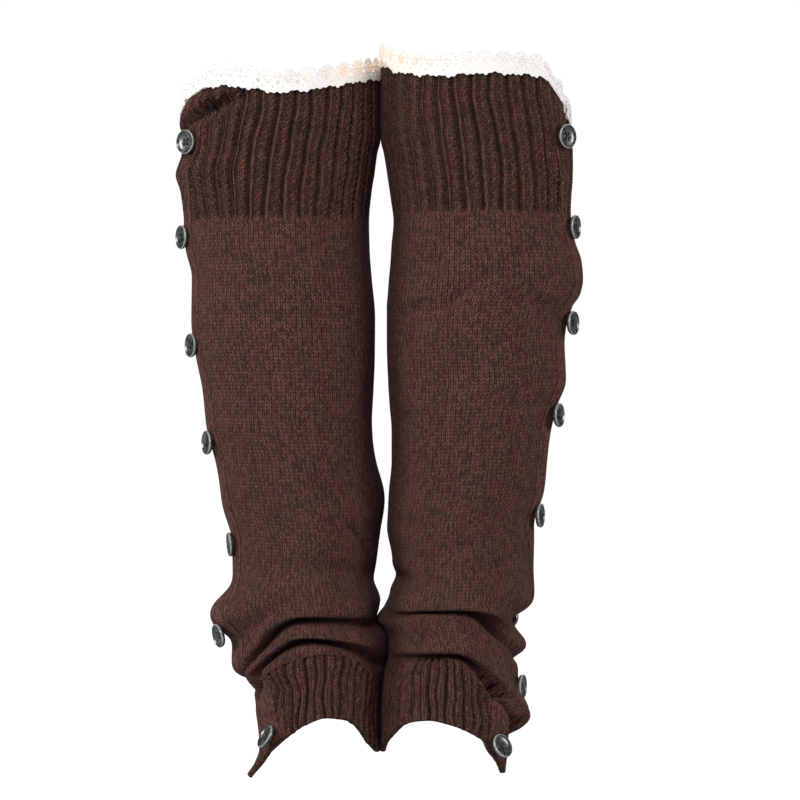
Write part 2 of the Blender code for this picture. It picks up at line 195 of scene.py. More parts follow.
# A section gives how far the cloth reaches outwards from the middle of the pair on the outer and inner side,
# and how far to the front and back. An edge gives the height of the cloth's end at an angle. A fold runs all
# round: its height on four sides, how far it comes out or goes in there, its width and how far it droops.
# A crease is short: its middle, half its length and width, its slope, and how far it comes out or goes in.
# A wave is the low unevenness of worn cloth: how often it goes round, how tall it is, where it starts and
# how far it comes out.
LEFT = Leg(
    name="left",
    side=-1,
    top=38.0,
    cuff_end=-48.0,
    ribs_start=-316.0,
    hem=-355.0,
    sections=table(
        Section,
        (45, 123, -0.5, 57, 58),
        (15, 126, -0.5, 58, 60),
        (6, 126, -0.3, 58, 60.5),
        (-2, 126, 1.6, 58, 61),
        (-16, 129.5, 3.5, 58, 62),
        (-25, 127, 5, 58, 62.5),
        (-45, 123, 6.8, 57.5, 64),
        (-63, 121.9, 6.4, 57.5, 66),
        (-80, 118.7, 5.1, 57.5, 67),
        (-105, 118.4, 3, 57, 68),
        (-130, 115, 3.2, 56, 67),
        (-150, 111.3, 4, 55, 65),
        (-170, 110, 5, 54, 63),
        (-194, 103.8, 4, 53, 59),
        (-219, 100, 2, 52, 55),
        (-246, 93, 1.6, 51, 52),
        (-268, 93, 3, 51, 50),
        (-281, 92.6, -0.3, 51.5, 49.5),
        (-286, 92.4, 0.5, 51.7, 49.3),
        (-300, 92, 0, 52, 49),
        (-320, 94, 0, 52, 49),
        (-335, 81, 0, 53, 49),
        (-350, 80, 0, 56, 50),
        (-374, 77.5, 0, 61, 52),
        (-382, 80, 0, 62, 52.5),
        (-393, 86, 0, 63, 53),
    ),
    top_edge=table(
        Edge,
        (-90, 46),
        (-60, 43),
        (-40, 39),
        (-20, 35),
        (0, 32.5),
        (20, 36),
        (41, 37.4),
        (57, 32),
        (72, 28.5),
        (91, 23),
        (112, 31),
        (140, 39),
        (180, 42),
        (225, 44),
    ),
    hem_edge=table(
        Edge,
        (-90, -376),
        (-60, -368),
        (-50, -361),
        (-40, -355),
        (-28, -351),
        (-10, -349.5),
        (10, -353.5),
        (24, -359),
        (40, -366),
        (67, -377),
        (80, -383.5),
        (90, -391),
        (115, -379),
        (140, -366),
        (180, -354),
        (220, -358),
        (250, -366),
    ),
    folds=table(
        Fold,
        (-291, -272, -284, -285, 11, 4, 0, 5, 11, 4),
        (-330, -281.3, -290, -294, 0, 4, 0, 3, 4, 6),
        (-334, -286.8, -296, -300, -2, -12, 0, -5, 3.8, 0),
        (-342, -294.5, -311, -309, 0, 4, 0, 2.5, 4, 6),
        (-346, -301.3, -322, -318, -0.5, -11, -4, -4, 3.7, 0),
    ),
    creases=table(
        Crease,
        (48, 19.5, 28, 3.6, -0.28, -7),
        (52, 25.5, 30, 5, -0.28, 4),
        (-90, -322, 14, 3.7, 0, 4),
        (-115, -217, 30, 22, 0, 7),
        (-30, -261, 34, 5, 0.1, -3),
        (82, -282, 14, 8, 0, 7),
        (-18, -210, 9, 4, 1.1, -2.4),
        (-42, -203, 5, 14, 0.0, -1.8),
        (-50, -241, 16, 3.5, 0.85, -3.4),
        (-62, -228, 14, 4, 0.5, 2.2),
        (0, -106, 34, 4, 0.02, -1.0),
        (20, -85, 28, 5, 0.1, -1.0),
        (35, -187, 20, 6, 0.3, -1.2),
        (-160, -160, 30, 9, 0.3, -1.4),
        (150, -120, 26, 8, -0.3, -1.2),
        (170, -250, 34, 6, 0.2, -2.2),
        (120, -232, 22, 7, 0.35, -1.5),
        (-130, -262, 24, 6, -0.25, -2.0),
        (160, -205, 24, 7, -0.2, 1.2),
    ),
    band=table(
        Band,
        (40, 57),
        (5, 59),
        (-55, 76),
        (-120, 76),
        (-182, 72),
        (-246, 72),
        (-302, 71),
        (-350, 51),
        (-385, 39),
    ),
    buttons=table(
        Button,
        (2.5, 42, 0),
        (-55, 62, 0),
        (-121.9, 62, 0),
        (-181.9, 66, 0),
        (-245.6, 78, -5),
        (-297, 63, -12),
        (-366.9, 62, 30),
    ),
    waves=table(
        Wave,
        (3, 90, 0.4, 0.22),
        (5, -64, 2.1, 0.18),
        (8, 46, 4.0, 0.14),
        (11, -33, 1.2, 0.10),
        (2, 140, 5.1, 0.25),
    ),
)

RIGHT = Leg(
    name="right",
    side=1,
    top=44.0,
    cuff_end=-44.0,
    ribs_start=-316.0,
    hem=-355.0,
    sections=table(
        Section,
        (50, 118, -0.3, 57, 58),
        (20, 120.5, -0.3, 58, 60),
        (6, 121.7, 0.4, 58, 60.7),
        (-2, 122.5, 2.3, 58, 61),
        (-17, 122.9, 4.7, 58, 62),
        (-30, 122, 6.6, 58, 62.5),
        (-45, 121.4, 8.4, 57.5, 64),
        (-59, 123.1, 7.2, 57.5, 66),
        (-70, 126.3, 6.5, 57.5, 66.5),
        (-82, 127.5, 5.4, 57.5, 67),
        (-90, 126, 4.8, 57.5, 67.5),
        (-98, 121, 4.2, 57, 68),
        (-120, 116.3, 4.2, 56.5, 68),
        (-144, 118, 5, 55, 66),
        (-160, 112.5, 6, 54.5, 64),
        (-176, 108.4, 7.2, 54, 62),
        (-194, 106, 7.2, 53, 59),
        (-213, 103.7, 5.5, 52, 56),
        (-235, 96.5, 4.3, 51.5, 53),
        (-256, 95.6, 7.5, 51, 51),
        (-277, 94, 5.9, 51, 50),
        (-284, 91.8, 3.0, 51.3, 49.7),
        (-300, 86, 0, 52, 49),
        (-318, 87, 0, 52, 49),
        (-335, 86, 0, 53, 49),
        (-352, 89, 0, 56, 50),
        (-369, 83, 0, 60, 52),
        (-390, 80.5, 0, 63, 53),
    ),
    top_edge=table(
        Edge,
        (-90, 53),
        (-73, 53),
        (-54, 47.5),
        (-17, 43),
        (7, 44.4),
        (43, 44),
        (52, 37),
        (62, 29),
        (72, 21.5),
        (88, 15),
        (102, 18),
        (125, 31),
        (155, 42),
        (225, 46),
    ),
    hem_edge=table(
        Edge,
        (-90, -376),
        (-71, -368),
        (-55, -360.5),
        (-45, -355.3),
        (-32, -352.4),
        (-18, -351.3),
        (0, -353.5),
        (22, -360),
        (36, -365.5),
        (46, -372.5),
        (58, -378.6),
        (82, -388.5),
        (105, -383),
        (145, -364),
        (180, -355),
        (215, -357),
        (245, -365),
    ),
    folds=table(
        Fold,
        (-276, -267.5, -283, -280, 3, 3.5, 0, 4, 11, 5),
        (-300, -275.5, -286, -290, 0, 4, 0, 3, 4, 6),
        (-317, -281.2, -290, -303, -5, -12, 0, -5, 3.8, 0),
        (-350, -302, -309, -335, 6.5, 0, 0, 3, 12, 3),
        (-345, -305, -312, -320, 1, 3.5, 0, 2, 4, 5),
        (-366, -310.5, -318, -325, -4.5, -10.5, 0, -3.5, 3.9, 0),
    ),
    creases=table(
        Crease,
        (90, -292, 16, 5, 0, -5.5),
        (90, -309, 24, 7.5, 0, 6.5),
        (180, -307, 30, 7, 0, 3),
        (-68, -266, 26, 5, 0, -5),
        (24, -258, 12, 6, -0.3, -3),
        (-12, -91, 30, 5, 0.72, -2.8),
        (-48, -101, 16, 4.5, 0.2, -3.4),
        (-30, -84, 20, 8, 0.7, 1.5),
        (40, -97, 24, 4, -0.35, -2.2),
        (12, -123, 10, 4, 0.3, -1.8),
        (-60, -167, 12, 4.5, 0.1, -2.2),
        (-8, -180, 10, 5, 0.2, -1.5),
        (-42, -233, 13, 5, -0.2, -2.8),
        (4, -246, 12, 5, 0.1, -2.4),
        (-160, -150, 28, 8, -0.3, -1.3),
        (150, -100, 30, 7, 0.4, -1.6),
        (175, -240, 34, 6, -0.2, -2.2),
        (125, -215, 22, 7, -0.35, -1.5),
        (-130, -235, 24, 6, 0.25, -1.8),
        (165, -195, 24, 7, 0.2, 1.2),
    ),
    band=table(
        Band,
        (40, 57),
        (9, 59),
        (-50, 70),
        (-108, 75),
        (-165, 68),
        (-227, 72),
        (-292, 108),
        (-335, 76),
        (-372, 45),
    ),
    buttons=table(
        Button,
        (5.7, 45, 0),
        (-49.4, 66, 0),
        (-108, 62, 0),
        (-165, 66, 0),
        (-226.9, 72, 0),
        (-292, 124, -12),
        (-335, 92, 0),
        (-369.5, 46, 25),
    ),
    waves=table(
        Wave,
        (3, 84, 3.3, 0.22),
        (5, -60, 0.7, 0.18),
        (7, 44, 2.6, 0.15),
        (12, -35, 5.2, 0.10),
        (2, 150, 1.9, 0.25),
    ),
)


def smooth(share):
    """A soft step from 0 to 1."""
    share = np.clip(share, 0.0, 1.0)
    return share * share * (3.0 - 2.0 * share)


def bell(distance, width):
    return np.exp(-((distance / width) ** 2))


def curve(places, values, place):
    """The value at a place on a smooth curve through a table's rows that never overshoots them."""
    places, values = np.array(places, float), np.array(values, float)
    place = np.clip(place, places[0], places[-1])
    rise = np.diff(values) / np.diff(places)
    both = rise[:-1] * rise[1:]
    total = np.where(both > 0, rise[:-1] + rise[1:], 1.0)
    steep = np.zeros(len(places))
    steep[1:-1] = np.where(both > 0, 2.0 * both / total, 0.0)
    i = np.clip(np.searchsorted(places, place, side="right") - 1, 0, len(places) - 2)
    span = places[i + 1] - places[i]
    t = (place - places[i]) / span
    kept = 1.0 - smooth(t)
    bent = t * (1.0 - t) * span
    return values[i] * kept + values[i + 1] * (1.0 - kept) + bent * (steep[i] * (1.0 - t) - steep[i + 1] * t)


def section(leg, height):
    """How far a tube reaches on its outer, inner, front and back side at a height, under the button band."""
    rows = sorted(leg.sections)
    heights = [row.height for row in rows]
    outer, front, back = (curve(heights, [row[k] for row in rows], height) for k in (1, 3, 4))
    pressed = [(place.height, leg.side * place.right - PRESSED_IN) for place in sorted(PRESSED)]
    free = [(row.height, row.inner) for row in rows if row.height > pressed[-1][0]]
    inner = curve(*zip(*pressed, *free), height)
    return outer - LAID_GAP - BAND_THICK, inner, front, back


def edge_height(edges, angle):
    """The height of a top edge or a hem at an angle, where the table goes once round."""
    first = edges[0].angle
    places = [edge.angle - first for edge in edges] + [360.0]
    heights = [edge.height for edge in edges] + [edges[0].height]
    return curve(places, heights, (angle - first) % 360.0)


def around(angle, outer, front, inner, back):
    """Blends what holds on the four sides of a tube."""
    out, ahead = np.sin(np.radians(angle)), np.cos(np.radians(angle))
    sides = ((out, outer), (ahead, front), (-out, inner), (-ahead, back))
    return sum(np.maximum(0.0, side) ** 2 * value for side, value in sides)


def course(leg, angle, level):
    """The true height of a row of stitches: level at mid-leg, and bent towards the top edge and the hem."""
    rise = smooth((level - leg.cuff_end) / (leg.top - leg.cuff_end))
    drop = smooth((SLUMP_START - level) / (SLUMP_START - SLUMP_FULL))
    top = edge_height(leg.top_edge, angle) - leg.top
    hem = edge_height(leg.hem_edge, angle) - leg.hem
    return level + rise * top + drop * hem


def band_edges(leg, level):
    """The angles of the band's front and back edge where it crosses a level."""
    rows = sorted(leg.band)
    heights, angles = [row.height for row in rows], [row.angle for row in rows]
    height = course(leg, curve(heights, angles, level), level)
    middle = curve(heights, angles, height)
    outer, inner, front, back = section(leg, height)
    half = np.degrees(BAND_WIDTH / 2.0 / ((outer - inner + front + back) / 4.0))
    return middle - half, middle + half


def beside_band(leg, angle, level):
    """From 0 under the button band to 1 just beside it."""
    front, back = band_edges(leg, level)
    off = np.abs((angle - (front + back) / 2.0 + 180.0) % 360.0 - 180.0)
    return smooth((off - (back - front) / 2.0 + BAND_MARGIN) / BAND_SOFT)


def off_inner_side(angle):
    """From 0 where the two leg warmers press together to 1 elsewhere."""
    return 1.0 - bell((angle + 270.0) % 360.0 - 180.0, PRESSED_ROUND)


def cloth(leg, angle, level):
    """The outer face of the cloth at an angle and level, with its folds, as out, ahead and up."""
    height = course(leg, angle, level)
    outer, inner, front, back = section(leg, height)
    half = (outer - inner) / 2.0
    push = np.zeros_like(height)
    sink = np.zeros_like(height)
    for fold in leg.folds:
        swell = bell(height - around(angle, *fold[:4]), fold.width)
        out = around(angle, *fold[4:8])
        push += out * swell
        sink += fold.droop * swell * out / max(1.0, *fold[4:8])
    for crease in leg.creases:
        along = np.radians((angle - crease.angle + 180.0) % 360.0 - 180.0) * half
        across = height - crease.height - crease.slope * along
        push += crease.out * bell(along, crease.length) * bell(across, crease.width)
    loose = off_inner_side(angle)
    for wave in leg.waves:
        turn = np.radians(wave.turns * angle) + math.tau * height / wave.height + wave.phase
        push += wave.out * loose * np.sin(turn)
    out, ahead = np.sin(np.radians(angle)), np.cos(np.radians(angle))
    depth = np.where(ahead > 0.0, front, back)
    return np.stack(((outer + inner) / 2.0 + (half + push) * out, (depth + push) * ahead, height - sink), -1)


def placed(leg, angle, level, slide, sunk):
    """Points in the world, sunk below the outer face of the cloth, or raised above it where sunk is
    negative. A point may also slide up along the cloth, square to its own row."""
    step_round, step_down = 1.0, 0.7
    here = cloth(leg, angle, level)
    round_it = cloth(leg, angle + step_round, level) - cloth(leg, angle - step_round, level)
    up_it = cloth(leg, angle, level + step_down) - cloth(leg, angle, level - step_down)
    outwards = np.cross(up_it, round_it)
    outwards /= np.linalg.norm(outwards, axis=-1, keepdims=True)
    upwards = np.cross(round_it, outwards)
    upwards /= np.linalg.norm(upwards, axis=-1, keepdims=True)
    spot = here - outwards * np.asarray(sunk)[..., None] + upwards * np.asarray(slide)[..., None]
    return spot * (leg.side, -1.0, 1.0) * MM


def length_along(points):
    """How far each point lies from the first one, along the cloth."""
    steps = np.linalg.norm(np.diff(points, axis=0), axis=-1)
    return np.concatenate((np.zeros((1, *steps.shape[1:])), np.cumsum(steps, axis=0)))


def piece_of_cloth(name, points, stitches, recess_shade):
    """A flat grid of cloth laid on rows of points and sewn up where its edges meet. The UV map counts
    stitches across and down, so that the knitting follows the cloth, and an attribute tells how deep it
    lies, which sets the painted shade in the hollows."""
    down, across = points.shape[0] - 1, points.shape[1] - 1
    bpy.ops.object.select_all(action="DESELECT")
    bpy.ops.mesh.primitive_grid_add(x_subdivisions=across, y_subdivisions=down, size=1.0)
    piece = bpy.context.object
    piece.name = piece.data.name = name
    mesh = piece.data
    mesh.vertices.foreach_set("co", points.astype(np.float32).ravel())
    layer = mesh.uv_layers[0].data
    corners = np.empty(2 * len(layer), np.float32)
    layer.foreach_get("uv", corners)
    column = np.rint(corners[0::2] * across).astype(int)
    row = np.rint(corners[1::2] * down).astype(int)
    layer.foreach_set("uv", stitches[row, column].astype(np.float32).ravel())
    hollows = mesh.attributes.new("recess_shade", "FLOAT", "POINT")
    hollows.data.foreach_set("value", recess_shade.astype(np.float32).ravel())
    mesh.update()
    bpy.ops.object.mode_set(mode="EDIT")
    bpy.ops.mesh.select_all(action="SELECT")
    bpy.ops.mesh.remove_doubles(threshold=SEWN)
    bpy.ops.mesh.normals_make_consistent(inside=False)
    bpy.ops.object.mode_set(mode="OBJECT")
    bpy.ops.object.shade_smooth()
    return piece


def sleeve_rows(outer, top_free, hem_free):
    """The rows of a closed wall as level, slide and share of its thickness: down the outer face, round the
    lower edge, up the inner face and over the top edge. A free edge is rounded, a joined one is square."""
    start, end = outer[0], outer[-1]
    inner = [end, *outer[-2:0:-INNER_STEP], start]
    rows = [(level, 0.0, 0.0) for level in outer]
    turn = [math.pi * k / RIM_STEPS for k in range(1, RIM_STEPS)]
    if hem_free:
        rows += [(end, -RIM * math.sin(phi), (1.0 - math.cos(phi)) / 2.0) for phi in turn]
    rows += [(level, 0.0, 1.0) for level in inner]
    if top_free:
        rows += [(start, RIM * math.sin(phi), (1.0 - math.cos(phi)) / 2.0) for phi in reversed(turn)]
    rows.append(rows[0])
    return (np.array(column, float)[:, None] for column in zip(*rows))


def sleeve(leg, name, outer, columns, wales, thick, relief, lean, top_free=False, hem_free=False):
    """A knitted tube. Relief sinks its outer face below the crests, by the share of the way round and the
    level, and lean shifts its columns of stitches round the leg."""
    level, slide, share = sleeve_rows(outer, top_free, hem_free)
    way = np.linspace(0.0, 1.0, columns + 1)[None, :]
    angle = 360.0 * way + lean(leg, 360.0 * way, level)
    dip = relief(leg, way, level) * beside_band(leg, angle, level) * off_inner_side(angle) * (1.0 - share)
    sunk = dip + thick * share
    level, slide = level + 0.0 * angle, slide + 0.0 * angle
    points = placed(leg, angle, level, slide, sunk)
    smooth_face = placed(leg, angle, level, slide, thick * share + 0.0 * angle)
    down = length_along(smooth_face) / (COURSE * MM)
    stitches = np.stack((wales * way + 0.0 * angle, -down), -1)
    # The depth of the relief, as a share of DEEPEST, sets the painted shade in the hollows.
    return piece_of_cloth(f"{leg.name}_{name}_knit", points, stitches, np.clip(dip / DEEPEST, 0.0, 1.0))


# The yarn: V shapes drawn by the shader from the stitches that the UV map counts, in heather colours with
# patches, stray fibres and a nap, each as fine as its number says, and painted shade in the gaps between
# stitches and in the hollows of the ribs.
V_SLANT = 1.7
PATCHES = 62.0
FIBRES = 1100.0
NAP = 2200.0
NAP_HEIGHT = 0.35
TINT_SHARE = 0.34


def shader_group(name, takes, gives):
    """An empty group of nodes with named inputs and outputs."""
    group = bpy.data.node_groups.new(name, "ShaderNodeTree")
    for label, kind in takes:
        group.interface.new_socket(label, in_out="INPUT", socket_type="NodeSocket" + kind)
    for label, kind in gives:
        group.interface.new_socket(label, in_out="OUTPUT", socket_type="NodeSocket" + kind)
    return group, group.nodes.new("NodeGroupInput").outputs, group.nodes.new("NodeGroupOutput").inputs


def wired(tree, node, inputs):
    """Links a node's inputs, or sets those that are given as plain values."""
    for place, value in inputs.items():
        if isinstance(value, bpy.types.NodeSocket):
            tree.links.new(value, node.inputs[place])
        else:
            node.inputs[place].default_value = value
    return node


def maths(tree, operation, *values):
    node = tree.nodes.new("ShaderNodeMath")
    node.operation = operation
    return wired(tree, node, dict(enumerate(values))).outputs[0]


def stepped(tree, value, low, high, to_low=0.0, to_high=1.0):
    """A soft step from one value to another."""
    node = tree.nodes.new("ShaderNodeMapRange")
    node.interpolation_type = "SMOOTHSTEP"
    return wired(tree, node, {0: value, 1: low, 2: high, 3: to_low, 4: to_high}).outputs[0]


def mixed(tree, share, first, second, way="MIX"):
    node = tree.nodes.new("ShaderNodeMix")
    node.data_type = "RGBA"
    node.blend_type = way
    return wired(tree, node, {0: share, 6: first, 7: second}).outputs[2]


def speckle(tree, place, scale, detail=2.0, swirl=0.0):
    node = tree.nodes.new("ShaderNodeTexNoise")
    inputs = {"Vector": place, "Scale": scale, "Detail": detail, "Distortion": swirl}
    return wired(tree, node, inputs).outputs[0]


def stocking_stitch():
    """Columns of small V shapes, from a map that counts stitches. It gives their height, a mask for the
    painted shade in the gaps between them, and a chance number for each leg of a V."""
    gives = (("Height", "Float"), ("Gap Shade", "Float"), ("Chance", "Float"))
    group, taken, given = shader_group("stocking stitch", (("Stitches", "Vector"),), gives)
    split = wired(group, group.nodes.new("ShaderNodeSeparateXYZ"), {0: taken["Stitches"]}).outputs
    side = maths(group, "ABSOLUTE", maths(group, "SUBTRACT", maths(group, "FRACT", split[0]), 0.5))
    row = maths(group, "SUBTRACT", split[1], maths(group, "MULTIPLY", side, V_SLANT))
    part = maths(group, "FRACT", row)
    rest = maths(group, "SUBTRACT", 1.0, part)
    plump = maths(group, "MULTIPLY", maths(group, "MULTIPLY", part, 4.0), rest)
    off = maths(group, "DIVIDE", maths(group, "SUBTRACT", side, 0.25), 0.25)
    across = maths(group, "SUBTRACT", 1.0, maths(group, "MULTIPLY", off, off))
    height = maths(group, "SQRT", maths(group, "MAXIMUM", maths(group, "MULTIPLY", plump, across), 0.0))
    group.links.new(height, given["Height"])
    # The mask for the painted shade in the gaps between stitches.
    between = stepped(group, side, 0.15, 0.45, 0.45, 1.0)
    gap_shade = maths(group, "MULTIPLY", stepped(group, height, 0.3, 0.95, 1.0, 0.0), between)
    group.links.new(gap_shade, given["Gap Shade"])
    spot = wired(
        group,
        group.nodes.new("ShaderNodeCombineXYZ"),
        {
            0: maths(group, "FLOOR", maths(group, "MULTIPLY", split[0], 2.0)),
            1: maths(group, "FLOOR", row),
        },
    ).outputs[0]
    chance = group.nodes.new("ShaderNodeTexWhiteNoise")
    chance.noise_dimensions = "2D"
    wired(group, chance, {"Vector": spot})
    group.links.new(chance.outputs["Value"], given["Chance"])
    return group


def heather():
    """The colours of heather yarn: dark and light threads, reddish and olive patches, and stray fibres,
    with painted shade in the gaps between stitches and in the hollows of the ribs.
    """
    group, taken, given = shader_group(
        "heather",
        (
            ("Place", "Vector"),
            ("Chance", "Float"),
            ("Gap Shade", "Float"),
            ("Recess Shade", "Float"),
            ("Dark", "Color"),
            ("Light", "Color"),
            ("Red", "Color"),
            ("Olive", "Color"),
        ),
        (("Color", "Color"),),
    )
    thread = mixed(group, taken["Chance"], taken["Dark"], taken["Light"])
    patch = stepped(group, speckle(group, taken["Place"], PATCHES, 3.0), 0.42, 0.60)
    tint = mixed(group, patch, taken["Red"], taken["Olive"])
    yarn = mixed(group, TINT_SHARE, thread, tint)
    fibres = stepped(group, speckle(group, taken["Place"], FIBRES), 0.52, 0.72, 0.0, 0.5)
    yarn = mixed(group, fibres, yarn, taken["Light"])
    # Painted shade: the colour goes nearly black in the gaps between stitches and darker in the hollows of
    # the ribs.
    gap_shade = stepped(group, taken["Gap Shade"], 0.0, 1.0, 1.0, 0.06)
    shade = maths(group, "MULTIPLY", gap_shade, stepped(group, taken["Recess Shade"], 0.0, 0.9, 1.0, 0.4))
    tone = wired(group, group.nodes.new("ShaderNodeCombineXYZ"), {0: shade, 1: shade, 2: shade}).outputs[0]
    group.links.new(mixed(group, 1.0, yarn, tone, "MULTIPLY"), given["Color"])
    return group


STITCH = stocking_stitch()
HEATHER = heather()
Yarn = namedtuple("Yarn", "dark light red olive")
BROWN = Yarn((0.019, 0.007, 0.005), (0.196, 0.082, 0.061), (0.135, 0.034, 0.025), (0.092, 0.042, 0.023))


def knit(name, yarn, relief):
    """A knitted material: stitches from the UV map, heather colours with painted shade in the gaps and
    hollows, and a soft nap that catches light.
    """
    made, tree, shader = material(name)
    place = tree.nodes.new("ShaderNodeTexCoord")
    stitch = tree.nodes.new("ShaderNodeGroup")
    stitch.node_tree = STITCH
    wired(tree, stitch, {"Stitches": place.outputs["UV"]})
    colours = tree.nodes.new("ShaderNodeGroup")
    colours.node_tree = HEATHER
    shades = {label: (*value, 1.0) for label, value in zip(("Dark", "Light", "Red", "Olive"), yarn)}
    # The depth of the relief, read from the mesh, darkens the colour as painted shade in the hollows.
    hollows = tree.nodes.new("ShaderNodeAttribute")
    hollows.attribute_name = "recess_shade"
    sources = {
        "Place": place.outputs["Object"],
        "Chance": stitch.outputs["Chance"],
        "Gap Shade": stitch.outputs["Gap Shade"],
        "Recess Shade": hollows.outputs["Fac"],
    }
    wired(tree, colours, {**sources, **shades})
    nap = maths(tree, "MULTIPLY", speckle(tree, place.outputs["Object"], NAP), NAP_HEIGHT)
    bump = tree.nodes.new("ShaderNodeBump")
    height = maths(tree, "ADD", stitch.outputs["Height"], nap)
    wired(tree, bump, {"Strength": 1.0, "Distance": relief * MM, "Height": height})
    wired(
        tree,
        shader,
        {
            "Base Color": colours.outputs["Color"],
            "Roughness": 0.92,
            "Specular IOR Level": 0.25,
            "Sheen Weight": 0.08,
            "Sheen Roughness": 0.5,
            "Sheen Tint": (0.8, 0.5, 0.42, 1.0),
            "Normal": bump.outputs["Normal"],
        },
    )
    return made


def plain_face(leg, way, level):
    return 0.0 * way + 0.0 * level


def straight(leg, angle, level):
    return 0.0 * angle + 0.0 * level


leg_knit = knit("leg knit", BROWN, 1.2)
for leg in (LEFT, RIGHT):
    calf = np.linspace(leg.cuff_end - BUTT - SUPPORT, SLUMP_START, CALF_ROWS)
    ankle = np.linspace(SLUMP_START, leg.ribs_start + BUTT + SUPPORT, ANKLE_ROWS)[1:]
    levels = [leg.cuff_end - BUTT, *calf, *ankle, leg.ribs_start + BUTT]
    tube = sleeve(leg, "leg", levels, LEG_COLUMNS, LEG_WALES, WALL, plain_face, straight)
    tube.data.materials.append(leg_knit)
    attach(tube, "root")
    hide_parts(f"{leg.name}_leg")

# The top cuffs: a wide rib, each one a thin smooth column beside a broad one of two strands that cross over
# and over, with a deep valley between ribs. The ribs lean inwards near the lace, where the cloth is pulled.
TOP_RIBS = 34
TOP_PER_RIB = 18
TOP_ROWS = 104
TOP_THICK = 4.2
TOP_WALES = 4
TOP_VALLEY = 2.8
TOP_VALLEY_WIDTH = 0.115
TOP_DEEPEST = 1.1 * TOP_VALLEY
GROOVE = 1.3
GROOVE_PLACE = 0.30
GROOVE_WIDTH = 0.045
CABLE = 1.7
CABLE_FROM = 0.31
CABLE_TO = 0.93
CABLE_SOFT = 0.05
STRAND_PLACE = 0.62
STRAND_WIDTH = 0.11
STRAND_SWING = 0.13
TOP_START = {"left": -4.8, "right": -0.5}
STRETCH = {"left": 0.0, "right": 6.3}
RIB_FADE = 5.0
CROSSING = 7.6
LEAN = -8.6
LEAN_MIDDLE = 25.0
LEAN_ROUND = 70.0
LEAN_LENGTH = 72.0
LEAN_BEND = 1.9
TOP_WANDER = (0.35, 52.0)


def wander(leg, angle, level, amount, length):
    """The small drift of a rib to either side on its way down."""
    first = np.sin(np.radians(7.0 * angle) + math.tau * level / length + leg.side)
    second = np.sin(np.radians(11.0 * angle) - math.tau * level / (0.61 * length) + 2.0 * leg.side)
    return amount * (first + 0.7 * second)


def upright(leg, angle, level, start):
    """The turn that keeps a rib upright where the middle of the tube moves sideways from where it starts."""
    outer, inner, front, back = section(leg, course(leg, angle, level))
    first_outer, first_inner, front, back = section(leg, start)
    moved = (outer + inner - first_outer - first_inner) / (outer - inner)
    return -np.degrees(moved) * np.maximum(0.0, np.cos(np.radians(angle)))


def top_lean(leg, angle, level):
    off = (angle - LEAN_MIDDLE + 180.0) % 360.0 - 180.0
    rise = np.clip((level - leg.cuff_end) / LEAN_LENGTH, 0.0, 1.0)
    pulled = LEAN * rise**LEAN_BEND * bell(off, LEAN_ROUND)
    stretched = TOP_START[leg.name] + STRETCH[leg.name] * np.sin(np.radians(angle))
    kept_up = upright(leg, angle, level, leg.cuff_end)
    return pulled + stretched + kept_up + wander(leg, angle, level, *TOP_WANDER)


def rib_place(leg, way, ribs):
    """Where a column lies in its rib, from 0 to 1 towards the right of a viewer in front, and the rib's own
    number."""
    along = leg.side * way * ribs
    return along % 1.0, np.floor(along) % ribs


def from_valley(place):
    return np.minimum(place, 1.0 - place)


def cable_ribs(leg, way, level):
    place, rib = rib_place(leg, way, TOP_RIBS)
    uneven = 1.0 + 0.14 * np.sin(2.7 * rib + level / 17.0)
    turn = math.tau * level / CROSSING + 1.9 * rib
    swing = STRAND_SWING * np.sin(turn)
    over = 0.74 + 0.26 * np.cos(turn)
    under = 0.74 - 0.26 * np.cos(turn)
    first = over * bell(place - STRAND_PLACE - swing, STRAND_WIDTH)
    second = under * bell(place - STRAND_PLACE + swing, STRAND_WIDTH)
    inside = smooth((place - CABLE_FROM) / CABLE_SOFT) * smooth((CABLE_TO - place) / CABLE_SOFT)
    cable = CABLE * (1.0 - np.minimum(1.0, np.maximum(first, second))) * inside
    groove = GROOVE * bell(place - GROOVE_PLACE, GROOVE_WIDTH)
    valley = TOP_VALLEY * uneven * bell(from_valley(place), TOP_VALLEY_WIDTH)
    fade = smooth((level - leg.cuff_end) / RIB_FADE)
    return np.minimum(valley + groove + cable, TOP_DEEPEST) * fade


cuff_knit = knit("top cuff knit", BROWN, 1.0)
for leg in (LEFT, RIGHT):
    rows = np.linspace(leg.top - RIM, leg.cuff_end + BUTT + SUPPORT, TOP_ROWS)
    levels = [*rows, leg.cuff_end + BUTT]
    columns, wales = TOP_RIBS * TOP_PER_RIB, TOP_RIBS * TOP_WALES
    tube = sleeve(leg, "top_cuff", levels, columns, wales, TOP_THICK, cable_ribs, top_lean, top_free=True)
    tube.data.materials.append(cuff_knit)
    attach(tube, "root")
    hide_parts(f"{leg.name}_top_cuff")

# The bottom cuffs: a narrow rib of two smooth columns between deep valleys, knitted on under the last fold
# and arched over the instep. The ribs wander, because nothing pulls them straight.
BOTTOM_RIBS = 24
BOTTOM_PER_RIB = 16
BOTTOM_ROWS = 66
BOTTOM_THICK = 3.8
BOTTOM_VALLEY = 2.7
BOTTOM_VALLEY_WIDTH = 0.12
BOTTOM_SPLIT = 1.9
BOTTOM_SPLIT_WIDTH = 0.09
BOTTOM_FADE = 0.9
BOTTOM_WANDER = (0.8, 33.0)
WANDER_START = 8.0
BOTTOM_WALES = 4
BOTTOM_START = {"left": 8.0, "right": -4.0}


def bottom_lean(leg, angle, level):
    loose = smooth((leg.ribs_start - level) / WANDER_START)
    kept_up = BOTTOM_START[leg.name] + upright(leg, angle, level, leg.hem)
    return kept_up + loose * wander(leg, angle, level, *BOTTOM_WANDER)


